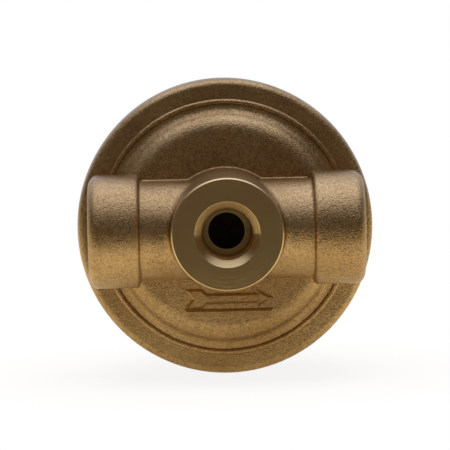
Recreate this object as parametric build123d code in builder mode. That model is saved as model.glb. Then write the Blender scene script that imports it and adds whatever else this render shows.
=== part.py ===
"""Direct-acting diaphragm pressure regulator: a cast bronze body with two in-line threaded ports, a bottom
port and a cast flow arrow, and a screwed bonnet that holds the adjusting spring. Millimetres.

The frame: the origin is the centre of the inlet mouth, +X is the direction of flow, +Y runs along the
spring axis from the bottom port to the adjusting screw, and +Z is up. A reach is a distance along the
spring axis, measured from the machined face of the bottom boss."""

from build123d import *
from math import cos, radians, sin, sqrt, tan
import os

os.makedirs("parts", exist_ok=True)

# Ports and flow tube
half_length = 32.2
axis_height = 16.0
port_radius = 13.1
port_length = 11.85
port_corner = 2.2
tube_radius = 11.5
port_thread_radius = 10.3
port_thread_length = 11.5
port_mouth_chamfer = 0.4
relief_radius = 9.2
relief_length = 3.8

# Bottom boss and its port
boss_radius = 13.0
boss_draft = 3.2
boss_edge = 0.3
countersink_radius = 7.64
bottom_thread_radius = 6.0
bottom_hole_radius = 4.3

# Dish of the body
plateau_reach = 24.5
plateau_radius = 22.8
shoulder_radius = 5.0
shoulder_turn = 55.0
foot_radius = 2.7
bead_width = 1.4
bead_height = 0.5
bead_setback = 5.55
ring_rise = 0.5
rim_round = 1.6
flange_radius = 35.4
rim_height = 4.2
flange_flare = 0.25
body_edge = 0.5
cast_fillet = 0.4
saddle_fillet = 2.0

# Flow arrow and the bar under it, cast on the plateau
relief_height = 0.75
relief_slope = 0.6
mark_root = 1.0
mark_shift = 0.5
arrow_offset = 16.8
arrow_length = 21.3
arrow_head = 4.1
arrow_head_half = 2.1
arrow_shaft_half = 1.25
arrow_tail = 4.2
arrow_tail_half = 2.4
arrow_notch = 1.8
arrow_flare = 1.2
bar_offset = 20.5
bar_length = 21.2
bar_width = 2.5

# Passages inside the body
chamber_depth = 9.0
chamber_web = 1.8
chamber_radius = 8.5
passage_height = 6.4
passage_width = 13.0
inlet_passage_wall = 1.0
outlet_passage_rise = 2.0
outlet_hole_wall = 4.7
outlet_hole_width = 6.0
outlet_hole_length = 12.0
dish_wall = 3.5
diaphragm_chamber_depth = 8.0
chamber_corner = 2.0
ledge_width = 5.5
bonnet_thread_radius = 31.0
bonnet_thread_length = 8.5

# Seat, poppet and return spring
seat_thread_radius = 9.5
seat_thread_length = 3.2
seat_gasket_thickness = 0.5
seat_hex = 21.6
seat_hex_height = 2.0
nozzle_radius = 5.0
nozzle_lip = 1.4
nozzle_stand = 1.4
nozzle_length = 3.2
nozzle_round = 0.5
seat_bore_radius = 7.0
disc_thickness = 2.6
disc_stand = 0.4
cup_wall = 0.6
cup_floor = 0.8
disc_washer_thickness = 0.6
guide_lugs = 3
guide_width = 3.0
hub_length = 1.8
stem_radius = 2.4
collar_length = 2.4
stem_step = 1.4
stem_thread_radius = 3.0
return_wire = 0.6
return_spring_radius = 6.1
return_turns = 3.0

# Diaphragm and its plates
plate_thickness = 2.0
plate_round = 0.9
diaphragm_thickness = 1.6
roll_width = 4.9
roll_gap = 0.8
roll_height = 1.9
hub_ring_wall = 3.0
hub_ring_height = 2.4
stem_washer_radius = 6.4
stem_washer_thickness = 1.2
stem_nut_width = 10.0
stem_nut_height = 5.0
stem_end = 1.2
slip_ring_thickness = 1.2

# Bonnet
bonnet_gap = 0.5
bonnet_hex = 60.0
bonnet_hex_height = 8.0
skirt_wall = 2.0
skirt_roof = 4.0
shoulder_height = 9.0
tower_radius = 20.0
tower_wall = 3.0
tower_room = 6.9
tower_draft = 0.6
dome_height = 6.0
top_boss_radius = 9.0
top_boss_height = 7.0
top_boss_fillet = 1.5
vent_rise = 8.0
vent_boss_radius = 5.5
vent_boss_height = 1.0
vent_recess_radius = 4.0
vent_recess_depth = 1.6
vent_hole_radius = 1.5
screen_thickness = 0.6
screen_hole_radius = 0.45
screen_hole_circle = 2.4
screen_holes = 8

# Range spring, its seat and the adjusting screw
range_wire = 3.0
range_spring_radius = 12.5
range_length = 42.0
range_turns = 6.5
spring_seat_margin = 1.0
spring_seat_thickness = 2.5
spring_seat_round = 0.5
spring_hub_height = 2.4
spring_hub_taper = 0.5
ball_radius = 3.0
ball_sink = 1.8
ball_cup = 1.2
screw_radius = 5.0
screw_chamfer = 0.8
screw_hex = 16.0
screw_head_height = 7.0
lock_washer_radius = 8.8
lock_washer_thickness = 1.2
lock_nut_height = 6.0
screw_travel = 10.0
lock_nut_travel = 4.0
hex_chamfer_angle = 30.0

# Clearances
running_clearance = 0.05
guide_clearance = 0.08
loose_clearance = 0.3
edge_clearance = 0.4
hub_clearance = 0.5
pick_margin = 0.2

# Places worked out from the sizes above
spring_axis = Axis((half_length, 0, 0), (0, 1, 0))
face_length = 2 * half_length
turn = radians(shoulder_turn)
shoulder_end_reach = plateau_reach + shoulder_radius * (1 - cos(turn))
foot_reach = shoulder_end_reach + foot_radius * (1 - cos(turn))
ring_reach = foot_reach + ring_rise
flange_reach = ring_reach + rim_height
bead_radius = flange_radius - bead_setback
bead_inner = bead_radius - bead_width / 2
bead_outer = bead_radius + bead_width / 2
rim_start = flange_radius - flange_flare - rim_round
diaphragm_floor = plateau_reach + dish_wall
ledge_reach = diaphragm_floor + diaphragm_chamber_depth
body_top = ledge_reach + bonnet_thread_length
boss_base_radius = boss_radius + (flange_reach - boss_edge) * tan(radians(boss_draft))
step_round = (port_radius - tube_radius) / 2
step_fillet = (port_radius - tube_radius) / 3

port_bore_depth = port_thread_length + relief_length
seat_thread_start = diaphragm_floor - seat_thread_length
chamber_floor = seat_thread_start - chamber_depth
bottom_thread_end = chamber_floor - chamber_web
inlet_passage_reach = seat_thread_start - inlet_passage_wall - passage_height / 2
inlet_passage_end = half_length - chamber_radius / 2
outlet_passage_reach = axis_height + outlet_passage_rise
outlet_hole_offset = chamber_radius + outlet_hole_wall + outlet_hole_width / 2
outlet_passage_start = half_length + outlet_hole_offset - outlet_hole_width / 2
diaphragm_chamber_radius = bonnet_thread_radius - ledge_width

seat_gasket_radius = seat_hex / 2 - edge_clearance
seat_flange_reach = diaphragm_floor + seat_gasket_thickness
nozzle_tip = seat_thread_start - nozzle_stand
seat_bore_start = nozzle_tip + nozzle_length
disc_radius = nozzle_radius + nozzle_lip + edge_clearance
cup_radius = disc_radius + cup_wall
cup_edge = nozzle_tip - disc_stand
disc_seat = nozzle_tip - disc_thickness
cup_bottom = disc_seat - cup_floor
hub_bottom = cup_bottom - hub_length
hub_radius = return_spring_radius - return_wire / 2 - hub_clearance
disc_washer_radius = stem_radius + stem_step
collar_radius = stem_thread_radius + stem_step
stem_hole_radius = stem_thread_radius + running_clearance

diaphragm_radius = bonnet_thread_radius - edge_clearance
diaphragm_top = ledge_reach + diaphragm_thickness
roll_outer = diaphragm_chamber_radius - roll_gap
roll_inner = roll_outer - roll_width
roll_middle = (roll_inner + roll_outer) / 2
plate_radius = roll_inner - roll_gap
lower_plate_reach = ledge_reach - plate_thickness
upper_plate_top = diaphragm_top + plate_thickness
stem_nut_reach = upper_plate_top + stem_washer_thickness
stem_tip = stem_nut_reach + stem_nut_height + stem_end

spring_hub_radius = range_spring_radius - range_wire / 2 - hub_clearance
spring_seat_radius = range_spring_radius + range_wire / 2 + spring_seat_margin
seat_reach = upper_plate_top + range_length
seat_back = seat_reach + spring_seat_thickness
ball_reach = seat_back - ball_sink + ball_radius
screw_tip = ball_reach + ball_radius - ball_cup
screw_hole_radius = screw_radius + running_clearance

bonnet_foot = diaphragm_top + slip_ring_thickness
bonnet_hex_reach = body_top + bonnet_gap
skirt_reach = bonnet_hex_reach + bonnet_hex_height
skirt_radius = diaphragm_chamber_radius + skirt_wall
skirt_hollow_end = skirt_reach - skirt_roof
tower_start = skirt_reach + shoulder_height
tower_end = seat_back + tower_room
hollow_radius = tower_radius - tower_wall
hollow_end = tower_end + dome_height - tower_wall
dome_reach = tower_end + dome_height
top_boss_foot = dome_reach + top_boss_fillet
top_boss_end = dome_reach + top_boss_height
vent_reach = tower_start + vent_rise
vent_face_radius = tower_radius + tower_draft + vent_boss_height
lock_nut_reach = top_boss_end + lock_washer_thickness
head_reach = lock_nut_reach + lock_nut_height + lock_nut_travel + screw_travel + loose_clearance


def across(reach):
    """A plane across the spring axis at a reach, with local x along +X and local y downwards."""
    return Plane(origin=(half_length, reach - axis_height, 0), x_dir=(1, 0, 0), z_dir=(0, 1, 0))


def along(x):
    """A plane across the flow tube at x, with local x along +Y and local y upwards."""
    return Plane(origin=(x, 0, 0), x_dir=(0, 1, 0), z_dir=(1, 0, 0))


# Profiles of turned pieces are drawn here as (radius, reach) and turned about the spring axis
profile = Plane(origin=(half_length, -axis_height, 0), x_dir=(1, 0, 0), z_dir=(0, 0, 1))


def outline(*points):
    """A closed straight-sided outline in the current sketch."""
    with BuildLine() as border:
        Polyline(*points, close=True)
    make_face(border.edges())


def u_section(radius, depth):
    """A tube's section: round on the side of the bottom port, straight-sided on the side of the dish."""
    with BuildLine() as border:
        JernArc((0, radius), (-1, 0), radius, 180)
        Polyline((0, -radius), (depth, -radius), (depth, radius), (0, radius))
    make_face(border.edges())


def chamfered_hex(width, reach, height, bore, lower, upper):
    """A hexagon turned down at its corners on the sides named, with a hole along the spring axis."""
    corner = width / sqrt(3)
    rise = (corner - width / 2) * tan(radians(hex_chamfer_angle))
    top = reach + height
    start = [(width / 2, reach), (corner, reach + rise)] if lower else [(corner, reach)]
    end = [(corner, top - rise), (width / 2, top)] if upper else [(corner, top)]
    with BuildPart() as piece:
        with BuildSketch(across(reach)):
            RegularPolygon(corner, 6)
            if bore:
                Circle(bore, mode=Mode.SUBTRACT)
        extrude(amount=height)
        with BuildSketch(profile):
            outline((0, reach), *start, *end, (0, top))
        revolve(axis=spring_axis, mode=Mode.INTERSECT)
    return piece


def coil(radius, wire, turns, low, high):
    """A compression spring between two reaches, with its end coils ground flat."""
    pitch = (high - low) / turns
    path = Helix(pitch, high - low, radius, center=(half_length, low - axis_height, 0), direction=(0, 1, 0))
    with BuildPart() as piece:
        with BuildSketch(Plane(origin=path @ 0, z_dir=path % 0)):
            Circle(wire / 2)
        sweep(path=path, is_frenet=True)
        with BuildSketch(across(low)):
            Circle(radius + wire)
        extrude(amount=high - low, mode=Mode.INTERSECT)
    return piece


def rim_edges(part, x):
    """The edges of a port boss that lie at x, apart from the flat end that the dish swallows."""
    open_side = flange_reach - axis_height - pick_margin
    rim = part.edges().filter_by_position(Axis.X, x - pick_margin, x + pick_margin)
    return rim.filter_by_position(Axis.Y, -port_radius - pick_margin, open_side)


def edges_at(edges, reach):
    """The edges that lie flat at a reach."""
    level = reach - axis_height
    return edges.filter_by_position(Axis.Y, level - pick_margin, level + pick_margin)


def is_outer(edge):
    """Whether an edge of the step between port boss and tube lies on the port boss."""
    return max(abs(vertex.Z) for vertex in edge.vertices()) > tube_radius + pick_margin


# Flow tube, port bosses and bottom boss with their rounded corners, before they join the dish
with BuildPart() as tube:
    with BuildSketch(along(port_length)):
        u_section(tube_radius, flange_reach - axis_height)
    extrude(amount=face_length - 2 * port_length)
    for mouth in (0, face_length - port_length):
        with BuildSketch(along(mouth)):
            u_section(port_radius, flange_reach - axis_height)
        extrude(amount=port_length)
    with BuildSketch(profile):
        outline(
            (0, 0),
            (boss_radius - boss_edge, 0),
            (boss_radius, boss_edge),
            (boss_base_radius, flange_reach),
            (0, flange_reach),
        )
    revolve(axis=spring_axis)
    fillet(tube.edges(Select.NEW), saddle_fillet)
    for mouth, step in ((0, port_length), (face_length, face_length - port_length)):
        fillet(rim_edges(tube, mouth), port_corner)
        fillet(rim_edges(tube, step).filter_by(is_outer), step_round)
        fillet(rim_edges(tube, step).filter_by(is_outer, reverse=True), step_fillet)
    with BuildSketch(across(plateau_reach)):
        Circle(plateau_radius)
    extrude(amount=flange_reach - plateau_reach)
    fillet(edges_at(tube.edges(Select.NEW), plateau_reach), cast_fillet)

# Body: the dish, the flow tube, the ports and the bottom boss are one casting
with BuildPart() as body:
    with BuildSketch(profile):
        with BuildLine():
            Line((0, plateau_reach), (plateau_radius, plateau_reach))
            shoulder = JernArc((plateau_radius, plateau_reach), (1, 0), shoulder_radius, shoulder_turn)
            foot = JernArc(shoulder @ 1, shoulder % 1, foot_radius, -shoulder_turn)
            Line(foot @ 1, (bead_inner, foot_reach))
            ThreePointArc(
                (bead_inner, foot_reach), (bead_radius, foot_reach - bead_height), (bead_outer, ring_reach)
            )
            Line((bead_outer, ring_reach), (rim_start, ring_reach))
            rim = JernArc((rim_start, ring_reach), (1, 0), rim_round, 90)
            Polyline(
                rim @ 1,
                (flange_radius, flange_reach),
                (flange_radius, body_top - body_edge),
                (flange_radius - body_edge, body_top),
                (0, body_top),
                (0, plateau_reach),
            )
        make_face()
    revolve(axis=spring_axis)
    add(tube.part)

    # Flow arrow with a notched tail, pointing to the outlet, and the bar under it
    tail = mark_shift - arrow_length / 2
    tip = mark_shift + arrow_length / 2
    neck = tip - arrow_head
    half = [
        (tail, arrow_tail_half),
        (tail + arrow_tail, arrow_tail_half),
        (tail + arrow_tail + arrow_flare, arrow_shaft_half),
        (neck, arrow_shaft_half),
        (neck, arrow_head_half),
    ]
    upper_side = [(x, arrow_offset - y) for x, y in half]
    lower_side = [(x, arrow_offset + y) for x, y in reversed(half)]
    with BuildSketch(across(plateau_reach - relief_height)):
        outline((tail + arrow_notch, arrow_offset), *upper_side, (tip, arrow_offset), *lower_side)
        with Locations((mark_shift, bar_offset)):
            Rectangle(bar_length, bar_width)
    extrude(amount=relief_height + mark_root)
    chamfer(edges_at(body.edges(), plateau_reach - relief_height), relief_slope)

    # Mouths and relief bores, turned about the flow axis from either end
    for mouth, inward in ((0, 1), (face_length, -1)):
        with BuildSketch(Plane(origin=(mouth, 0, 0), x_dir=(inward, 0, 0), z_dir=(0, 0, inward))):
            outline(
                (0, 0),
                (0, port_thread_radius + port_mouth_chamfer),
                (port_mouth_chamfer, port_thread_radius),
                (port_thread_length, port_thread_radius),
                (port_thread_length, relief_radius),
                (port_bore_depth, relief_radius),
                (port_bore_depth, 0),
            )
        revolve(axis=Axis.X, mode=Mode.SUBTRACT)

    # Cored passages on each side of the valve chamber
    with BuildSketch(along(port_bore_depth)):
        with Locations((inlet_passage_reach - axis_height, 0)):
            SlotOverall(passage_width, passage_height, rotation=90)
    extrude(amount=inlet_passage_end - port_bore_depth, mode=Mode.SUBTRACT)
    with BuildSketch(along(outlet_passage_start)):
        with Locations((outlet_passage_reach - axis_height, 0)):
            SlotOverall(passage_width, passage_height, rotation=90)
    extrude(amount=face_length - port_bore_depth - outlet_passage_start, mode=Mode.SUBTRACT)
    with BuildSketch(across(diaphragm_floor)):
        with Locations((outlet_hole_offset, 0)):
            SlotOverall(outlet_hole_length, outlet_hole_width, rotation=90)
    extrude(amount=outlet_passage_reach - diaphragm_floor, mode=Mode.SUBTRACT)

    # Bores turned about the spring axis, from the bottom port up to the thread for the bonnet
    with BuildSketch(profile):
        outline(
            (0, 0),
            (countersink_radius, 0),
            (bottom_thread_radius, countersink_radius - bottom_thread_radius),
            (bottom_thread_radius, bottom_thread_end),
            (bottom_hole_radius, bottom_thread_end),
            (bottom_hole_radius, chamber_floor),
            (chamber_radius, chamber_floor),
            (chamber_radius, seat_thread_start),
            (seat_thread_radius, seat_thread_start),
            (seat_thread_radius, diaphragm_floor),
            (diaphragm_chamber_radius - chamber_corner, diaphragm_floor),
            (diaphragm_chamber_radius, diaphragm_floor + chamber_corner),
            (diaphragm_chamber_radius, ledge_reach),
            (bonnet_thread_radius, ledge_reach),
            (bonnet_thread_radius, body_top),
            (0, body_top),
        )
    revolve(axis=spring_axis, mode=Mode.SUBTRACT)

body.part.label = "body"
export_step(body.part, "parts/body.step")

# Seat: a hexagon over a threaded spigot, with the nozzle lip that the disc closes against
with BuildPart() as seat_ring:
    add(chamfered_hex(seat_hex, seat_flange_reach, seat_hex_height, seat_bore_radius, False, True).part)
    with BuildSketch(profile):
        with BuildLine():
            Polyline(
                (seat_thread_radius - running_clearance, seat_flange_reach),
                (seat_thread_radius - running_clearance, seat_thread_start),
                (nozzle_radius + nozzle_lip, seat_thread_start),
                (nozzle_radius + nozzle_lip, nozzle_tip + nozzle_round),
                (nozzle_radius + nozzle_lip - nozzle_round, nozzle_tip),
                (nozzle_radius, nozzle_tip),
                (nozzle_radius, seat_bore_start),
                (seat_bore_radius, seat_bore_start + seat_bore_radius - nozzle_radius - nozzle_round),
                (seat_bore_radius, seat_flange_reach),
                (seat_thread_radius - running_clearance, seat_flange_reach),
            )
        make_face()
    revolve(axis=spring_axis)
seat_ring.part.label = "seat_ring"
export_step(seat_ring.part, "parts/seat_ring.step")

# Soft copper gasket under the seat's hexagon
with BuildPart() as seat_gasket:
    with BuildSketch(across(diaphragm_floor)):
        Circle(seat_gasket_radius)
        Circle(seat_thread_radius, mode=Mode.SUBTRACT)
    extrude(amount=seat_gasket_thickness)
seat_gasket.part.label = "seat_gasket"
export_step(seat_gasket.part, "parts/seat_gasket.step")

# Poppet: a cup for the disc, guide lugs, a spring hub below and a threaded stem above
with BuildPart() as poppet:
    with BuildSketch(profile):
        outline(
            (0, hub_bottom),
            (hub_radius, hub_bottom),
            (hub_radius, cup_bottom),
            (cup_radius, cup_bottom),
            (cup_radius, cup_edge),
            (disc_radius, cup_edge),
            (disc_radius, disc_seat),
            (stem_radius, disc_seat),
            (stem_radius, lower_plate_reach - collar_length),
            (collar_radius, lower_plate_reach - collar_length / 2),
            (collar_radius, lower_plate_reach),
            (stem_thread_radius, lower_plate_reach),
            (stem_thread_radius, stem_tip),
            (0, stem_tip),
        )
    revolve(axis=spring_axis)
    with BuildSketch(across(cup_bottom)):
        with PolarLocations((cup_radius + chamber_radius) / 2, guide_lugs):
            Rectangle(chamber_radius - cup_radius + cup_wall, guide_width)
        Circle(cup_radius - cup_wall / 2, mode=Mode.SUBTRACT)
    extrude(amount=cup_edge - cup_bottom)
    with BuildSketch(profile):
        outline(
            (0, hub_bottom),
            (chamber_radius - guide_clearance, hub_bottom),
            (chamber_radius - guide_clearance, stem_tip),
            (0, stem_tip),
        )
    revolve(axis=spring_axis, mode=Mode.INTERSECT)
poppet.part.label = "poppet"
export_step(poppet.part, "parts/poppet.step")

# Rubber disc in the poppet's cup
with BuildPart() as valve_disc:
    with BuildSketch(across(disc_seat)):
        Circle(disc_radius)
        Circle(stem_radius, mode=Mode.SUBTRACT)
    extrude(amount=disc_thickness)
valve_disc.part.label = "valve_disc"
export_step(valve_disc.part, "parts/valve_disc.step")

# Washer pressed on the stem, which holds the disc down inside the nozzle
with BuildPart() as disc_washer:
    with BuildSketch(across(nozzle_tip)):
        Circle(disc_washer_radius)
        Circle(stem_radius, mode=Mode.SUBTRACT)
    extrude(amount=disc_washer_thickness)
disc_washer.part.label = "disc_washer"
export_step(disc_washer.part, "parts/disc_washer.step")

return_spring = coil(return_spring_radius, return_wire, return_turns, chamber_floor, cup_bottom)
return_spring.part.label = "return_spring"
export_step(return_spring.part, "parts/return_spring.step")

# Lower plate under the diaphragm, rounded where the rubber rolls over it
with BuildPart() as lower_plate:
    with BuildSketch(across(lower_plate_reach)):
        Circle(plate_radius)
        Circle(stem_hole_radius, mode=Mode.SUBTRACT)
    extrude(amount=plate_thickness)
    fillet(lower_plate.edges().filter_by(GeomType.CIRCLE).sort_by(SortBy.RADIUS)[-2:], plate_round)
lower_plate.part.label = "lower_plate"
export_step(lower_plate.part, "parts/lower_plate.step")

# Diaphragm: flat where it is clamped, with one half-round roll between the plates and the rim
with BuildPart() as diaphragm:
    with BuildSketch(profile):
        with BuildLine():
            Line((stem_hole_radius, ledge_reach), (roll_inner, ledge_reach))
            ThreePointArc(
                (roll_inner, ledge_reach), (roll_middle, ledge_reach + roll_height), (roll_outer, ledge_reach)
            )
            Polyline(
                (roll_outer, ledge_reach),
                (diaphragm_radius, ledge_reach),
                (diaphragm_radius, diaphragm_top),
                (roll_outer, diaphragm_top),
            )
            ThreePointArc(
                (roll_outer, diaphragm_top),
                (roll_middle, diaphragm_top + roll_height),
                (roll_inner, diaphragm_top),
            )
            Polyline(
                (roll_inner, diaphragm_top),
                (stem_hole_radius, diaphragm_top),
                (stem_hole_radius, ledge_reach),
            )
        make_face()
    revolve(axis=spring_axis)
diaphragm.part.label = "diaphragm"
export_step(diaphragm.part, "parts/diaphragm.step")

# Upper plate with the raised ring that centres the range spring
with BuildPart() as upper_plate:
    with BuildSketch(across(diaphragm_top)):
        Circle(plate_radius)
        Circle(stem_hole_radius, mode=Mode.SUBTRACT)
    extrude(amount=plate_thickness)
    fillet(upper_plate.edges().filter_by(GeomType.CIRCLE).sort_by(SortBy.RADIUS)[-2:], plate_round)
    with BuildSketch(across(upper_plate_top)):
        Circle(spring_hub_radius)
        Circle(spring_hub_radius - hub_ring_wall, mode=Mode.SUBTRACT)
    extrude(amount=hub_ring_height, taper=spring_hub_taper)
upper_plate.part.label = "upper_plate"
export_step(upper_plate.part, "parts/upper_plate.step")

with BuildPart() as stem_washer:
    with BuildSketch(across(upper_plate_top)):
        Circle(stem_washer_radius)
        Circle(stem_hole_radius, mode=Mode.SUBTRACT)
    extrude(amount=stem_washer_thickness)
stem_washer.part.label = "stem_washer"
export_step(stem_washer.part, "parts/stem_washer.step")

stem_nut = chamfered_hex(
    stem_nut_width, stem_nut_reach, stem_nut_height, stem_hole_radius, True, True
)
stem_nut.part.label = "stem_nut"
export_step(stem_nut.part, "parts/stem_nut.step")

# Flat ring that lets the bonnet turn on the diaphragm without dragging it
with BuildPart() as slip_ring:
    with BuildSketch(across(diaphragm_top)):
        Circle(diaphragm_radius)
        Circle(diaphragm_chamber_radius, mode=Mode.SUBTRACT)
    extrude(amount=slip_ring_thickness)
slip_ring.part.label = "slip_ring"
export_step(slip_ring.part, "parts/slip_ring.step")

# Bonnet: a threaded skirt, a wrench hexagon and a tower that closes over the spring
with BuildPart() as bonnet:
    add(chamfered_hex(bonnet_hex, bonnet_hex_reach, bonnet_hex_height, 0, False, True).part)
    with BuildSketch(profile):
        with BuildLine():
            Polyline(
                (0, bonnet_foot),
                (bonnet_thread_radius - running_clearance, bonnet_foot),
                (bonnet_thread_radius - running_clearance, bonnet_hex_reach),
                (skirt_radius, bonnet_hex_reach),
                (skirt_radius, skirt_reach),
            )
            Spline(
                (skirt_radius, skirt_reach),
                (tower_radius + tower_draft, tower_start),
                tangents=((-1, tower_draft), (0, 1)),
            )
            Polyline((tower_radius + tower_draft, tower_start), (tower_radius, tower_end))
            Spline(
                (tower_radius, tower_end),
                (top_boss_radius + top_boss_fillet, dome_reach),
                tangents=((0, 1), (-1, 0)),
            )
            RadiusArc(
                (top_boss_radius + top_boss_fillet, dome_reach),
                (top_boss_radius, top_boss_foot),
                top_boss_fillet,
            )
            Polyline(
                (top_boss_radius, top_boss_foot),
                (top_boss_radius, top_boss_end - screw_chamfer),
                (top_boss_radius - screw_chamfer, top_boss_end),
                (0, top_boss_end),
                (0, bonnet_foot),
            )
        make_face()
    revolve(axis=spring_axis)
    vent = Plane(origin=(half_length, vent_reach - axis_height, 0), x_dir=(1, 0, 0), z_dir=(0, 0, -1))
    with BuildSketch(vent.offset(tower_radius - tower_wall / 2)):
        Circle(vent_boss_radius)
    extrude(amount=vent_face_radius - tower_radius + tower_wall / 2)
    with BuildSketch(profile):
        with BuildLine():
            Polyline(
                (0, bonnet_foot),
                (diaphragm_chamber_radius, bonnet_foot),
                (diaphragm_chamber_radius, skirt_hollow_end),
                (hollow_radius, tower_start),
                (hollow_radius, tower_end),
            )
            Spline(
                (hollow_radius, tower_end),
                (screw_hole_radius, hollow_end),
                tangents=((0, 1), (-1, 0)),
            )
            Polyline(
                (screw_hole_radius, hollow_end),
                (screw_hole_radius, top_boss_end),
                (0, top_boss_end),
                (0, bonnet_foot),
            )
        make_face()
    revolve(axis=spring_axis, mode=Mode.SUBTRACT)
    vent_face = vent.offset(vent_face_radius)
    with BuildSketch(vent_face):
        Circle(vent_recess_radius)
    extrude(amount=-vent_recess_depth, mode=Mode.SUBTRACT)
    with BuildSketch(vent_face):
        Circle(vent_hole_radius)
    extrude(amount=hollow_radius - vent_face_radius - loose_clearance, mode=Mode.SUBTRACT)
bonnet.part.label = "bonnet"
export_step(bonnet.part, "parts/bonnet.step")

# Insect screen pressed into the vent's recess
with BuildPart() as vent_screen:
    with BuildSketch(vent_face.offset(-vent_recess_depth)):
        Circle(vent_recess_radius)
        Circle(screen_hole_radius, mode=Mode.SUBTRACT)
        for ring, holes in ((screen_hole_circle / 2, screen_holes // 2), (screen_hole_circle, screen_holes)):
            with PolarLocations(ring, holes):
                Circle(screen_hole_radius, mode=Mode.SUBTRACT)
    extrude(amount=screen_thickness)
vent_screen.part.label = "vent_screen"
export_step(vent_screen.part, "parts/vent_screen.step")

range_spring = coil(range_spring_radius, range_wire, range_turns, upper_plate_top, seat_reach)
range_spring.part.label = "range_spring"
export_step(range_spring.part, "parts/range_spring.step")

# Upper spring seat, with a hub inside the spring and a cup for the ball
with BuildPart() as spring_seat:
    with BuildSketch(across(seat_reach)):
        Circle(spring_seat_radius)
    extrude(amount=spring_seat_thickness)
    fillet(spring_seat.edges().filter_by(GeomType.CIRCLE), spring_seat_round)
    with BuildSketch(across(seat_reach)):
        Circle(spring_hub_radius)
    extrude(amount=-spring_hub_height, taper=spring_hub_taper)
    with Locations((half_length, ball_reach - axis_height, 0)):
        Sphere(ball_radius, mode=Mode.SUBTRACT)
spring_seat.part.label = "spring_seat"
export_step(spring_seat.part, "parts/spring_seat.step")

# Hard ball that takes the screw's thrust, so that the seat doesn't turn with it
with BuildPart() as thrust_ball:
    with Locations((half_length, ball_reach - axis_height, 0)):
        Sphere(ball_radius)
thrust_ball.part.label = "thrust_ball"
export_step(thrust_ball.part, "parts/thrust_ball.step")

# Adjusting screw: a hexagon head on a shank, with a cupped tip for the ball
with BuildPart() as adjusting_screw:
    add(chamfered_hex(screw_hex, head_reach, screw_head_height, 0, False, True).part)
    with BuildSketch(profile):
        outline(
            (0, screw_tip),
            (screw_radius - screw_chamfer, screw_tip),
            (screw_radius, screw_tip + screw_chamfer),
            (screw_radius, head_reach),
            (0, head_reach),
        )
    revolve(axis=spring_axis)
    with Locations((half_length, ball_reach - axis_height, 0)):
        Sphere(ball_radius, mode=Mode.SUBTRACT)
adjusting_screw.part.label = "adjusting_screw"
export_step(adjusting_screw.part, "parts/adjusting_screw.step")

with BuildPart() as lock_washer:
    with BuildSketch(across(top_boss_end)):
        Circle(lock_washer_radius)
        Circle(screw_radius + loose_clearance, mode=Mode.SUBTRACT)
    extrude(amount=lock_washer_thickness)
lock_washer.part.label = "lock_washer"
export_step(lock_washer.part, "parts/lock_washer.step")

lock_nut = chamfered_hex(screw_hex, lock_nut_reach, lock_nut_height, screw_hole_radius, True, True)
lock_nut.part.label = "lock_nut"
export_step(lock_nut.part, "parts/lock_nut.step")
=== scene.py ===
"""The looks of a cast bronze diaphragm pressure regulator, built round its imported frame.

Lengths are in metres and in the row frame: the origin is the centre of the inlet mouth, +X is the
direction of flow, +Y runs along the spring axis towards the adjusting screw, and +Z is up.
"""

import logging
import math
from dataclasses import dataclass, field
from enum import Enum

import bpy
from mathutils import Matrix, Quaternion, Vector


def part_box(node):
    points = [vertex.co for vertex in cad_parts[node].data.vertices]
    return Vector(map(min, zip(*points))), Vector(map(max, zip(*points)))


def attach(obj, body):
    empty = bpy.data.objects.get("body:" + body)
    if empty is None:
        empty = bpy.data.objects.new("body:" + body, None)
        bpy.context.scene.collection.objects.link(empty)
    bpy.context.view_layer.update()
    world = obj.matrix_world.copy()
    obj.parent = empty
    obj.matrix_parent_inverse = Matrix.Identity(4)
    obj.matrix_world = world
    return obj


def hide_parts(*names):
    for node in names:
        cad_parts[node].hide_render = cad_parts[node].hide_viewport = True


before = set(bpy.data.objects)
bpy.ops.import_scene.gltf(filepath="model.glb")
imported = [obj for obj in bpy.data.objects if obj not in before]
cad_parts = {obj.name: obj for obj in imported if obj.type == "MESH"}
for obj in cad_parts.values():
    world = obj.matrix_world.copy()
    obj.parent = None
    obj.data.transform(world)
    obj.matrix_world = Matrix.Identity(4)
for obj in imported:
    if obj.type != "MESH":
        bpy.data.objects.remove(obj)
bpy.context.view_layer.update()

log = logging.getLogger("regulator")
MM = 0.001
SPRING_X = 32.2 * MM
HOUSING = "housing"
RING_SIZE = 0.3 * MM
RING_SHARE = 0.2
Amount = bpy.types.NodeSocket | float
Paint = bpy.types.NodeSocket | tuple[float, float, float, float]


def linear(hex_colour: str) -> tuple[float, float, float, float]:
    """Turn an sRGB hex colour into the linear colour that a shader takes.

    Args:
        hex_colour: Six hex digits.

    Returns:
        Red, green, blue and an alpha of one.
    """
    parts = [int(hex_colour[i : i + 2], 16) / 255 for i in (0, 2, 4)]
    low = [part / 12.92 for part in parts]
    high = [((part + 0.055) / 1.055) ** 2.4 for part in parts]
    red, green, blue = (a if part <= 0.04045 else b for part, a, b in zip(parts, low, high))
    return (red, green, blue, 1.0)


def add_node(
    tree: bpy.types.NodeTree, kind: str, inputs: dict | None = None, **settings: object
) -> bpy.types.Node:
    """Add a node with its settings, its values and its links.

    Args:
        tree: The node tree that gets the node.
        kind: The node's type.
        inputs: Values or output sockets, by the name or number of the input that takes them.
        **settings: Attributes of the node itself.

    Returns:
        The new node.
    """
    node = tree.nodes.new(kind)
    for name, value in settings.items():
        setattr(node, name, value)
    for key, value in (inputs or {}).items():
        if isinstance(value, bpy.types.NodeSocket):
            tree.links.new(value, node.inputs[key])
        else:
            node.inputs[key].default_value = value
    return node


def deselect() -> None:
    """Deselect every object, because operators act on all that is selected."""
    bpy.ops.object.select_all(action="DESELECT")


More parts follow.
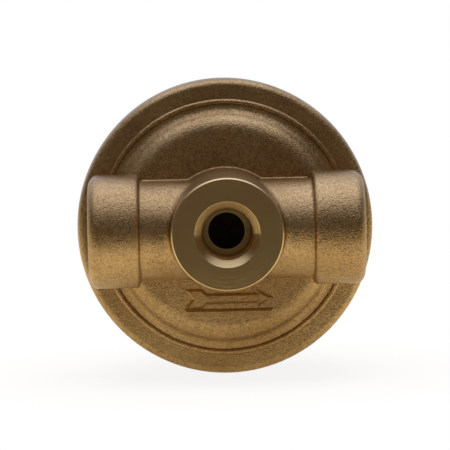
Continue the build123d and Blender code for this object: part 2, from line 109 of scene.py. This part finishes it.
class Pattern(Enum):
    """How a finish's fine relief runs."""

    GRAIN = "grain"
    TURNED = "turned"
    PLAIN = "plain"


class Side(Enum):
    """Which part of a casting a machined zone takes."""

    NEAR_SPRING_AXIS = "near_spring_axis"
    NEAR_FLOW_AXIS = "near_flow_axis"
    BELOW_Y = "below_y"
    ABOVE_Y = "above_y"


@dataclass(frozen=True)
class Zone:
    """A machined zone of a casting: a side of the part and the limit where it ends."""

    side: Side
    limit: float


@dataclass(frozen=True)
class Finish:
    """A real material with the way its surface was made."""

    name: str
    colour: str
    tone: str
    roughness: float
    metallic: float = 1.0
    pattern: Pattern = Pattern.PLAIN
    relief_size: float = 0.4 * MM
    relief_depth: float = 0.01 * MM
    tone_size: float = 6 * MM
    tone_share: float = 0.5
    pit: str = "3A2917"
    pit_share: float = 0.0
    zones: tuple[Zone, ...] = ()
    zone_colour: str = "E0C48C"
    zone_roughness: float = 0.27

    def material(self) -> bpy.types.Material:
        """Build the finish's material, or return it if it is there.

        Returns:
            The material.
        """
        if self.name in bpy.data.materials:
            return bpy.data.materials[self.name]
        material = bpy.data.materials.new(self.name)
        material.use_nodes = True
        tree = material.node_tree
        tree.nodes.clear()
        place = add_node(tree, "ShaderNodeTexCoord").outputs["Object"]
        patches = self.noise(tree, place, self.tone_size, 1.0)
        share = add_node(
            tree,
            "ShaderNodeMapRange",
            {"Value": patches, "From Min": 0.35, "From Max": 0.65, "To Max": self.tone_share},
            interpolation_type="SMOOTHSTEP",
        ).outputs[0]
        colour = self.mixed_colour(tree, share, linear(self.colour), linear(self.tone))
        height = self.relief(tree, place)
        if self.pit_share:
            pits = add_node(
                tree,
                "ShaderNodeMapRange",
                {"Value": height, "From Min": 0.34, "From Max": 0.6, "To Min": self.pit_share, "To Max": 0.0},
            ).outputs[0]
            colour = self.mixed_colour(tree, pits, colour, linear(self.pit))
        uneven = self.noise(tree, place, self.tone_size / 3, 2.0)
        roughness = add_node(
            tree,
            "ShaderNodeMapRange",
            {"Value": uneven, "To Min": self.roughness * 0.85, "To Max": self.roughness * 1.15},
        ).outputs[0]
        if self.zones:
            mask = self.zone_mask(tree, place)
            golden = self.mixed_colour(tree, share, linear(self.zone_colour), linear(self.colour))
            colour = self.mixed_colour(tree, mask, colour, golden)
            roughness = self.mixed_value(tree, mask, roughness, self.zone_roughness)
            rings = self.rings(tree, place)
            height = self.mixed_value(tree, mask, height, rings)
        bump = add_node(
            tree,
            "ShaderNodeBump",
            {"Height": height, "Distance": self.relief_depth, "Strength": 1.0},
        )
        shader = add_node(
            tree,
            "ShaderNodeBsdfPrincipled",
            {
                "Base Color": colour,
                "Roughness": roughness,
                "Metallic": self.metallic,
                "Normal": bump.outputs[0],
            },
        )
        add_node(tree, "ShaderNodeOutputMaterial", {"Surface": shader.outputs[0]})
        return material

    def noise(
        self, tree: bpy.types.NodeTree, place: bpy.types.NodeSocket, size: float, detail: float
    ) -> bpy.types.NodeSocket:
        """Add noise whose features are a real size.

        Args:
            tree: The material's node tree.
            place: The coordinates.
            size: The size of a feature.
            detail: How many finer octaves it has.

        Returns:
            The noise's value.
        """
        node = add_node(
            tree, "ShaderNodeTexNoise", {"Vector": place, "Scale": 1 / size, "Detail": detail}
        )
        return node.outputs[0]

    def mixed_colour(
        self, tree: bpy.types.NodeTree, share: bpy.types.NodeSocket, low: Paint, high: Paint
    ) -> bpy.types.NodeSocket:
        """Mix two colours.

        Args:
            tree: The material's node tree.
            share: The share of the second colour.
            low: The first colour.
            high: The second colour.

        Returns:
            The mixed colour.
        """
        node = add_node(tree, "ShaderNodeMix", {0: share, 6: low, 7: high}, data_type="RGBA")
        return node.outputs[2]

    def mixed_value(
        self, tree: bpy.types.NodeTree, share: Amount, low: Amount, high: Amount
    ) -> bpy.types.NodeSocket:
        """Mix two numbers.

        Args:
            tree: The material's node tree.
            share: The share of the second number.
            low: The first number.
            high: The second number.

        Returns:
            The mixed number.
        """
        return add_node(tree, "ShaderNodeMix", {0: share, 2: low, 3: high}).outputs[0]

    def axis_distance(
        self,
        tree: bpy.types.NodeTree,
        place: bpy.types.NodeSocket,
        point: tuple[float, float, float],
        mask: tuple[int, int, int],
    ) -> bpy.types.NodeSocket:
        """Measure the distance from an axis that runs along X or Y.

        Args:
            tree: The material's node tree.
            place: The coordinates.
            point: A point on the axis.
            mask: One for each direction that counts, zero for the axis's own.

        Returns:
            The distance.
        """
        shifted = add_node(tree, "ShaderNodeVectorMath", {0: place, 1: point}, operation="SUBTRACT")
        flat = add_node(
            tree, "ShaderNodeVectorMath", {0: shifted.outputs[0], 1: mask}, operation="MULTIPLY"
        )
        return add_node(
            tree, "ShaderNodeVectorMath", {0: flat.outputs[0]}, operation="LENGTH"
        ).outputs["Value"]

    def rings(self, tree: bpy.types.NodeTree, place: bpy.types.NodeSocket) -> bpy.types.NodeSocket:
        """Add the uneven rings that turning about the spring axis leaves.

        Args:
            tree: The material's node tree.
            place: The coordinates.

        Returns:
            The rings' height from zero to one.
        """
        radius = self.axis_distance(tree, place, (SPRING_X, 0, 0), (1, 0, 1))
        marks = add_node(
            tree, "ShaderNodeTexNoise", {"W": radius, "Scale": 1 / RING_SIZE, "Detail": 3.0},
            noise_dimensions="1D",
        )
        return add_node(
            tree, "ShaderNodeMapRange", {"Value": marks.outputs[0], "To Max": RING_SHARE}
        ).outputs[0]

    def relief(self, tree: bpy.types.NodeTree, place: bpy.types.NodeSocket) -> bpy.types.NodeSocket:
        """Add the finish's fine relief.

        Args:
            tree: The material's node tree.
            place: The coordinates.

        Returns:
            The relief's height from zero to one.
        """
        if self.pattern is Pattern.TURNED:
            return self.rings(tree, place)
        grain = self.noise(tree, place, self.relief_size, 1.0)
        if self.pattern is Pattern.PLAIN:
            return grain
        coarse = self.noise(tree, place, self.relief_size * 3, 1.0)
        return self.mixed_value(tree, 0.3, grain, coarse)

    def zone_mask(self, tree: bpy.types.NodeTree, place: bpy.types.NodeSocket) -> bpy.types.NodeSocket:
        """Find where the casting is machined.

        Args:
            tree: The material's node tree.
            place: The coordinates.

        Returns:
            One in the machined zones and zero elsewhere.
        """
        along = add_node(tree, "ShaderNodeSeparateXYZ", {0: place}).outputs["Y"]
        found = None
        for zone in self.zones:
            measure = {
                Side.NEAR_SPRING_AXIS: lambda: self.axis_distance(tree, place, (SPRING_X, 0, 0), (1, 0, 1)),
                Side.NEAR_FLOW_AXIS: lambda: self.axis_distance(tree, place, (0, 0, 0), (0, 1, 1)),
                Side.BELOW_Y: lambda: along,
                Side.ABOVE_Y: lambda: along,
            }[zone.side]()
            operation = "GREATER_THAN" if zone.side is Side.ABOVE_Y else "LESS_THAN"
            inside = add_node(
                tree, "ShaderNodeMath", {0: measure, 1: zone.limit}, operation=operation
            ).outputs[0]
            if found is not None:
                inside = add_node(
                    tree, "ShaderNodeMath", {0: found, 1: inside}, operation="MAXIMUM"
                ).outputs[0]
            found = inside
        return found


# Leaded tin bronze, sand cast and grit blasted: a soft brown-gold grain that sparkles where it turns
# to the light, with smooth satin gold where the boss, the bores and the mouths were turned
CAST_BODY = Finish(
    "grit_blasted_bronze_body", "D6B27E", "B08A58", 0.36, pattern=Pattern.GRAIN,
    relief_size=0.3 * MM, relief_depth=0.16 * MM, tone_size=14 * MM, tone_share=0.4, pit_share=0.5,
    zones=(
        Zone(Side.BELOW_Y, -15.66 * MM),
        Zone(Side.NEAR_SPRING_AXIS, 7.8 * MM),
        Zone(Side.NEAR_FLOW_AXIS, 10.75 * MM),
    ),
)
CAST_BONNET = Finish(
    "grit_blasted_bronze_bonnet", "D6B27E", "B08A58", 0.36, pattern=Pattern.GRAIN,
    relief_size=0.3 * MM, relief_depth=0.16 * MM, tone_size=14 * MM, tone_share=0.4, pit_share=0.5,
    zones=(Zone(Side.ABOVE_Y, 87.9 * MM),),
)
# Turned bronze bar: bright gold with fine rings
TURNED_BRONZE = Finish(
    "turned_bronze_seat", "C9A56B", "A8854F", 0.25, pattern=Pattern.TURNED, relief_size=0.2 * MM,
    relief_depth=0.01 * MM,
)
# Annealed copper sheet: soft pink-red with a dull bloom
SOFT_COPPER = Finish("annealed_copper_gasket", "D9906F", "A86048", 0.38)
# Austenitic stainless steel, turned: cool grey with rings
STAINLESS = Finish(
    "turned_stainless_steel", "C4C2BE", "A5A29D", 0.28, pattern=Pattern.TURNED, relief_size=0.2 * MM,
    relief_depth=0.008 * MM,
)
# The same steel inside the wetted chamber, painted near black: painted shade for the dark inside the chamber
# behind the bottom port
SHADE_PAINTED_STAINLESS = Finish("stainless_steel_painted_dark_for_shade", "3B3631", "2A2622", 0.5, relief_depth=0.02 * MM)
# Nitrile rubber, moulded: deep matt black
RUBBER = Finish(
    "moulded_nitrile_rubber", "1B1B1B", "262524", 0.62, metallic=0.0, relief_size=0.3 * MM,
    relief_depth=0.02 * MM,
)
# Nitrile rubber on woven fabric: matt black with a faint weave
DIAPHRAGM_RUBBER = Finish(
    "fabric_backed_nitrile_rubber", "232120", "2E2B29", 0.7, metallic=0.0, relief_size=0.6 * MM,
    relief_depth=0.05 * MM,
)
# Carbon steel, zinc plated and clear passivated: pale grey with a slightly milky bloom
ZINC_STEEL = Finish(
    "zinc_plated_steel", "C9CBCB", "AEB1B0", 0.3, relief_size=0.5 * MM, relief_depth=0.012 * MM,
    tone_size=3 * MM,
)
# Drawn spring wire, oiled: dark grey
SPRING_WIRE = Finish(
    "oiled_spring_steel", "77777A", "5A5A5D", 0.35, relief_size=0.3 * MM, relief_depth=0.01 * MM,
)
# Through-hardened bearing steel, ground and polished: near mirror
BALL_STEEL = Finish("polished_ball_steel", "D6D6D6", "CFCFCF", 0.08, relief_depth=0.001 * MM)


@dataclass
class HelicalRidge:
    """One thread's ridge, closed at both ends and a little sunk in the wall that carries it."""

    name: str
    root_radius: float
    crest_radius: float
    pitch: float
    turns: int
    start: Vector
    direction: Vector
    root_half: float = 0.45
    crest_half: float = 0.08
    steps: int = 40

    def build(self, body: str, finish: Finish, slot: str) -> bpy.types.Object:
        """Model the ridge, place it and make it ride.

        Args:
            body: The body that it moves with.
            finish: The finish that it gets.
            slot: The record's material slot; not used.

        Returns:
            The ridge.
        """
        deselect()
        middle = (self.root_radius + self.crest_radius) / 2
        bpy.ops.mesh.primitive_plane_add(size=1, location=(middle, 0, 0), rotation=(math.pi / 2, 0, 0))
        ridge = bpy.context.object
        ridge.name = self.name
        depth = abs(self.root_radius - self.crest_radius)
        ridge.scale = (depth, 2 * self.root_half * self.pitch, 1)
        bpy.ops.object.transform_apply(location=True, rotation=True, scale=True)
        self.narrow_crest(ridge)
        screw = ridge.modifiers.new("helix", "SCREW")
        screw.axis = "Z"
        screw.screw_offset = self.pitch
        screw.iterations = self.turns
        screw.steps = screw.render_steps = self.steps
        screw.use_merge_vertices = False
        bpy.ops.object.modifier_apply(modifier=screw.name)
        self.close_ends()
        bpy.ops.object.shade_smooth_by_angle(angle=math.radians(35))
        ridge.rotation_mode = "QUATERNION"
        ridge.rotation_quaternion = self.direction.to_track_quat("Z", "Y")
        ridge.location = self.start
        bpy.ops.object.transform_apply(location=True, rotation=True, scale=True)
        ridge.data.materials.append(finish.material())
        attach(ridge, body)
        return ridge

    def narrow_crest(self, ridge: bpy.types.Object) -> None:
        """Pull the two crest corners of the section together.

        Args:
            ridge: The flat section.
        """
        bpy.ops.object.mode_set(mode="EDIT")
        bpy.ops.mesh.select_all(action="DESELECT")
        bpy.ops.object.mode_set(mode="OBJECT")
        for vertex in ridge.data.vertices:
            vertex.select = abs(vertex.co.x - self.crest_radius) < abs(vertex.co.x - self.root_radius)
        bpy.ops.object.mode_set(mode="EDIT")
        bpy.ops.transform.resize(
            value=(1, 1, self.crest_half / self.root_half), center_override=(self.crest_radius, 0, 0)
        )
        bpy.ops.object.mode_set(mode="OBJECT")

    def close_ends(self) -> None:
        """Fill the two open ends of the swept ridge and turn its faces outwards."""
        bpy.ops.object.mode_set(mode="EDIT")
        bpy.ops.mesh.select_all(action="DESELECT")
        bpy.ops.mesh.select_mode(type="EDGE")
        bpy.ops.mesh.select_non_manifold()
        bpy.ops.mesh.fill_holes(sides=4)
        bpy.ops.mesh.select_all(action="SELECT")
        bpy.ops.mesh.normals_make_consistent(inside=False)
        bpy.ops.mesh.select_mode(type="VERT")
        bpy.ops.object.mode_set(mode="OBJECT")


@dataclass
class AdjustingScrew:
    """The adjusting screw with a rolled thread, a chamfered hexagon head and a cup for the ball."""

    width: float = 16 * MM
    head_height: float = 7 * MM
    root: float = 4.2 * MM
    crest: float = 4.97 * MM
    pitch: float = 1.5 * MM
    turns: int = 24
    lead: float = 1.2 * MM
    chamfer_angle: float = 30.0

    def build(self) -> None:
        """Model the screw's shank, thread and head in the place of the plain one."""
        low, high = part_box("adjusting_screw")
        head_foot = high[1] - self.head_height
        self.shank(low[1], head_foot + 0.5 * MM)
        self.head(head_foot, high[1])
        HelicalRidge(
            "adjusting_screw_thread", self.root - 0.03 * MM, self.crest, self.pitch, self.turns,
            Vector((SPRING_X, low[1] + self.lead, 0)), Vector((0, 1, 0)),
        ).build("screw", ZINC_STEEL, "plated_steel")
        log.info("adjusting screw built")

    def turned(
        self, name: str, vertices: int, radii: tuple[float, float], low: float, high: float
    ) -> bpy.types.Object:
        """Add a cylinder or cone about the spring axis.

        Args:
            name: The object's name.
            vertices: How many sides it has.
            radii: Its radius at the low and at the high end.
            low: The y where it starts.
            high: The y where it ends.

        Returns:
            The object, with its place in its mesh.
        """
        deselect()
        bpy.ops.mesh.primitive_cone_add(
            vertices=vertices, radius1=radii[0], radius2=radii[1], depth=high - low,
            location=(SPRING_X, (low + high) / 2, 0), rotation=(-math.pi / 2, 0, 0),
        )
        piece = bpy.context.object
        piece.name = name
        bpy.ops.object.transform_apply(location=True, rotation=True, scale=True)
        return piece

    def cut(self, piece: bpy.types.Object, tool: bpy.types.Object, operation: str) -> None:
        """Cut a piece with a tool, which is then deleted.

        Args:
            piece: The piece that is cut.
            tool: The shape that cuts it.
            operation: How the two are joined.
        """
        modifier = piece.modifiers.new("cut", "BOOLEAN")
        modifier.operation = operation
        modifier.object = tool
        modifier.solver = "EXACT"
        bpy.context.view_layer.objects.active = piece
        bpy.ops.object.modifier_apply(modifier=modifier.name)
        bpy.data.objects.remove(tool)

    def shank(self, tip: float, top: float) -> None:
        """Model the shank at the thread's root, with a chamfered tip and a cup for the ball.

        Args:
            tip: The y where it starts.
            top: The y where it ends, inside the head.
        """
        shank = self.turned("adjusting_screw_shank", 64, (self.root, self.root), tip, top)
        ball_low, ball_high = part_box("thrust_ball")
        centre = [(a + b) / 2 for a, b in zip(ball_low, ball_high)]
        deselect()
        bpy.ops.mesh.primitive_uv_sphere_add(
            segments=48, ring_count=24, radius=(ball_high[1] - ball_low[1]) / 2, location=centre
        )
        ball = bpy.context.object
        bpy.ops.object.transform_apply(location=True, rotation=True, scale=True)
        self.cut(shank, ball, "DIFFERENCE")
        self.finish(shank)
        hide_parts("adjusting_screw")

    def head(self, foot: float, top: float) -> None:
        """Model the hexagon head, turned down at its upper corners.

        Args:
            foot: The y where it starts.
            top: The y where it ends.
        """
        corner = self.width / math.sqrt(3)
        head = self.turned("adjusting_screw_head", 6, (corner, corner), foot, top)
        bpy.ops.object.mode_set(mode="EDIT")
        bpy.ops.mesh.select_all(action="SELECT")
        bpy.ops.transform.rotate(
            value=math.radians(30), orient_axis="Y", orient_type="GLOBAL", center_override=(SPRING_X, foot, 0)
        )
        bpy.ops.object.mode_set(mode="OBJECT")
        rise = top - foot
        wide = self.width / 2 + rise / math.tan(math.radians(self.chamfer_angle))
        cone = self.turned("cone", 96, (wide, self.width / 2), foot, top)
        self.cut(head, cone, "INTERSECT")
        self.finish(head)

    def finish(self, piece: bpy.types.Object) -> None:
        """Plate a piece and make it ride with the screw.

        Args:
            piece: The piece.
        """
        deselect()
        piece.select_set(True)
        bpy.context.view_layer.objects.active = piece
        bpy.ops.object.shade_smooth_by_angle(angle=math.radians(25))
        piece.data.materials.append(ZINC_STEEL.material())
        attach(piece, "screw")


@dataclass
class Casting:
    """The cast body with the threads cut in its three ports."""

    port_root: float = 10.35 * MM
    port_crest: float = 9.3 * MM
    port_pitch: float = 1.814 * MM
    port_turns: int = 5
    port_start: float = 1.2 * MM
    face_length: float = 64.4 * MM
    bottom_root: float = 6.05 * MM
    bottom_crest: float = 5.6 * MM
    bottom_pitch: float = 1.411 * MM
    bottom_turns: int = 6
    bottom_start: float = -12.6 * MM

    def dress(self) -> None:
        """Give the casting its finish."""
        clothe("body", CAST_BODY)
        log.info("body dressed")

    def threads(self) -> None:
        """Cut the three internal threads."""
        flow = Vector((1, 0, 0))
        for name, x, way in (("inlet_thread", 0.0, flow), ("outlet_thread", self.face_length, -flow)):
            start = Vector((x, 0, 0)) + way * self.port_start
            HelicalRidge(
                name, self.port_root, self.port_crest, self.port_pitch, self.port_turns, start, way
            ).build(HOUSING, CAST_BODY, "cast_bronze")
            log.info("%s cut", name)
        HelicalRidge(
            "bottom_thread", self.bottom_root, self.bottom_crest, self.bottom_pitch, self.bottom_turns,
            Vector((SPRING_X, self.bottom_start, 0)), Vector((0, 1, 0)),
        ).build(HOUSING, CAST_BODY, "cast_bronze")
        log.info("bottom_thread cut")


def clothe(node: str, finish: Finish) -> None:
    """Give a CAD node a finish.

    Args:
        node: The node's name.
        finish: Its finish.
    """
    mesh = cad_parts[node].data
    mesh.materials.clear()
    mesh.materials.append(finish.material())


@dataclass
class Trim:
    """The pieces that keep their CAD shape, each with its finish."""

    finishes: dict[str, Finish] = field(
        default_factory=lambda: {
            "bonnet": CAST_BONNET,
            "seat_ring": TURNED_BRONZE,
            "seat_gasket": SOFT_COPPER,
            # Painted shade: the poppet is painted dark for the shade inside the chamber
            "poppet": SHADE_PAINTED_STAINLESS,
            "disc_washer": STAINLESS,
            "slip_ring": STAINLESS,
            "vent_screen": STAINLESS,
            "valve_disc": RUBBER,
            "diaphragm": DIAPHRAGM_RUBBER,
            "lower_plate": ZINC_STEEL,
            "upper_plate": ZINC_STEEL,
            "stem_washer": ZINC_STEEL,
            "stem_nut": ZINC_STEEL,
            "spring_seat": ZINC_STEEL,
            "lock_washer": ZINC_STEEL,
            "lock_nut": ZINC_STEEL,
            "return_spring": SPRING_WIRE,
            "range_spring": SPRING_WIRE,
            "thrust_ball": BALL_STEEL,
        }
    )

    def dress(self) -> None:
        """Give each piece its finish."""
        for node, finish in self.finishes.items():
            clothe(node, finish)
            log.info("%s dressed", node)


@dataclass
class Studio:
    """The floor, the room round it and the camera at the photograph's angle."""

    floor_z: float = -35.4 * MM
    floor_front: float = -80 * MM
    floor_size: float = 4.0
    # The painted glow that reflections see on the floor: where it starts, where it is full, and its strength
    # in front of and under the object
    glow_front: float = -16 * MM
    glow_full: float = 4 * MM
    glow_before: float = 0.3
    glow_under: float = 0.45
    azimuth: float = -0.97
    elevation: float = 3.6
    roll: float = 1.2
    distance: float = 0.7
    width_seen: float = 0.108
    sensor: float = 36.0
    target: Vector = field(default_factory=lambda: Vector((32.2, 16.5, 0.18)) * MM)

    def camera(self) -> None:
        """Set the camera."""
        turn, rise = math.radians(self.azimuth), math.radians(self.elevation)
        back = Vector((math.sin(turn) * math.cos(rise), -math.cos(turn) * math.cos(rise), math.sin(rise)))
        data = bpy.data.cameras.new("camera")
        data.sensor_width = self.sensor
        data.lens = self.sensor * self.distance / self.width_seen
        data.clip_start, data.clip_end = 0.01, 50.0
        camera = bpy.data.objects.new("camera", data)
        bpy.context.scene.collection.objects.link(camera)
        camera.location = self.target + back * self.distance
        camera.rotation_mode = "QUATERNION"
        camera.rotation_quaternion = (-back).to_track_quat("-Z", "Y") @ Quaternion(
            (0, 0, 1), -math.radians(self.roll)
        )
        bpy.context.scene.camera = camera

    def floor(self) -> None:
        """Lay the pale floor, which keeps the shadow. Seen in reflections, it glows as a painted light patch
        under the object.
        """
        deselect()
        middle = self.floor_front + self.floor_size / 2
        bpy.ops.mesh.primitive_plane_add(size=self.floor_size, location=(SPRING_X, middle, self.floor_z))
        floor = bpy.context.object
        floor.name = "floor"
        bpy.ops.object.transform_apply(location=True, rotation=True, scale=True)
        material = bpy.data.materials.new("pale_paper_floor")
        material.use_nodes = True
        tree = material.node_tree
        tree.nodes.clear()
        place = add_node(tree, "ShaderNodeTexCoord").outputs["Object"]
        foot = Vector((SPRING_X, 14 * MM, self.floor_z))
        away = add_node(tree, "ShaderNodeVectorMath", {0: place, 1: foot}, operation="DISTANCE")
        fade = add_node(
            tree, "ShaderNodeMapRange",
            {"Value": away.outputs["Value"], "From Min": 20 * MM, "From Max": 90 * MM, "To Min": 0.88},
            interpolation_type="SMOOTHSTEP",
        )
        seen = add_node(tree, "ShaderNodeLightPath")
        direct = add_node(
            tree, "ShaderNodeMath", {0: seen.outputs["Is Camera Ray"], 1: fade.outputs[0]},
            operation="MULTIPLY",
        )
        # Painted light: to reflections the floor glows, weaker in front and stronger under the object, like a
        # lit patch beneath it
        painted_glow_ramp = add_node(
            tree, "ShaderNodeMapRange",
            {
                "Value": add_node(tree, "ShaderNodeSeparateXYZ", {0: place}).outputs["Y"],
                "From Min": self.glow_front, "From Max": self.glow_full,
                "To Min": self.glow_before, "To Max": self.glow_under,
            },
            interpolation_type="SMOOTHSTEP",
        )
        painted_glow_share = add_node(
            tree, "ShaderNodeMath", {0: seen.outputs["Is Glossy Ray"], 1: painted_glow_ramp.outputs[0]},
            operation="MULTIPLY",
        )
        paper = add_node(tree, "ShaderNodeBsdfDiffuse", {"Color": linear("F4E8C8")})
        # Painted reflection: this emission is seen only by glossy rays. It is a painted glow, not bounce
        # light from a lamp.
        painted_reflection_glow = add_node(tree, "ShaderNodeEmission", {"Color": linear("FFF6D8"), "Strength": 1.0})
        glow = add_node(tree, "ShaderNodeEmission", {"Color": (1, 1, 1, 1), "Strength": 1.0})
        lit = add_node(
            tree, "ShaderNodeMixShader", {0: painted_glow_share.outputs[0], 1: paper.outputs[0], 2: painted_reflection_glow.outputs[0]}
        )
        mixed = add_node(
            tree, "ShaderNodeMixShader", {0: direct.outputs[0], 1: lit.outputs[0], 2: glow.outputs[0]}
        )
        add_node(tree, "ShaderNodeOutputMaterial", {"Surface": mixed.outputs[0]})
        floor.data.materials.append(material)

    def room(self) -> None:
        """Light the room: a white backdrop and ceiling, and a dark room on the photographer's side."""
        world = bpy.data.worlds.new("room")
        bpy.context.scene.world = world
        world.use_nodes = True
        tree = world.node_tree
        tree.nodes.clear()
        way = add_node(tree, "ShaderNodeTexCoord").outputs["Generated"]
        parts = add_node(tree, "ShaderNodeSeparateXYZ", {0: way})
        ceiling = add_node(
            tree, "ShaderNodeMapRange", {"Value": parts.outputs["Z"], "From Min": 0.6, "From Max": 0.97},
            interpolation_type="SMOOTHSTEP",
        )
        backdrop = add_node(
            tree, "ShaderNodeMapRange",
            {"Value": parts.outputs["Y"], "From Min": 0.0, "From Max": 0.6, "To Max": 0.45},
            interpolation_type="SMOOTHSTEP",
        )
        lit = add_node(
            tree, "ShaderNodeMath", {0: ceiling.outputs[0], 1: backdrop.outputs[0]}, operation="MAXIMUM"
        )
        light = add_node(
            tree, "ShaderNodeMix",
            {0: lit.outputs[0], 6: (0.11, 0.092, 0.072, 1), 7: (1.15, 1.25, 1.6, 1)}, data_type="RGBA",
        )
        seen = add_node(tree, "ShaderNodeLightPath")
        colour = add_node(
            tree, "ShaderNodeMix",
            {0: seen.outputs["Is Camera Ray"], 6: light.outputs[2], 7: (1, 1, 1, 1)}, data_type="RGBA",
        )
        glow = add_node(tree, "ShaderNodeBackground", {"Color": colour.outputs[2], "Strength": 1.0})
        add_node(tree, "ShaderNodeOutputWorld", {"Surface": glow.outputs[0]})

    def softbox(self) -> None:
        """Hang one wide softbox overhead."""
        data = bpy.data.lights.new("softbox", "AREA")
        data.size = 0.8
        data.energy = 4.5
        lamp = bpy.data.objects.new("softbox", data)
        lamp.visible_glossy = False
        bpy.context.scene.collection.objects.link(lamp)
        lamp.location = (SPRING_X, -0.1, 0.9)


def main() -> None:
    """Build the studio and dress the regulator."""
    bpy.context.scene.view_settings.view_transform = "Standard"
    studio = Studio()
    studio.camera()
    studio.floor()
    studio.room()
    studio.softbox()
    casting = Casting()
    casting.dress()
    casting.threads()
    Trim().dress()
    AdjustingScrew().build()


if __name__ == "__main__":
    logging.basicConfig(level=logging.INFO)
    main()
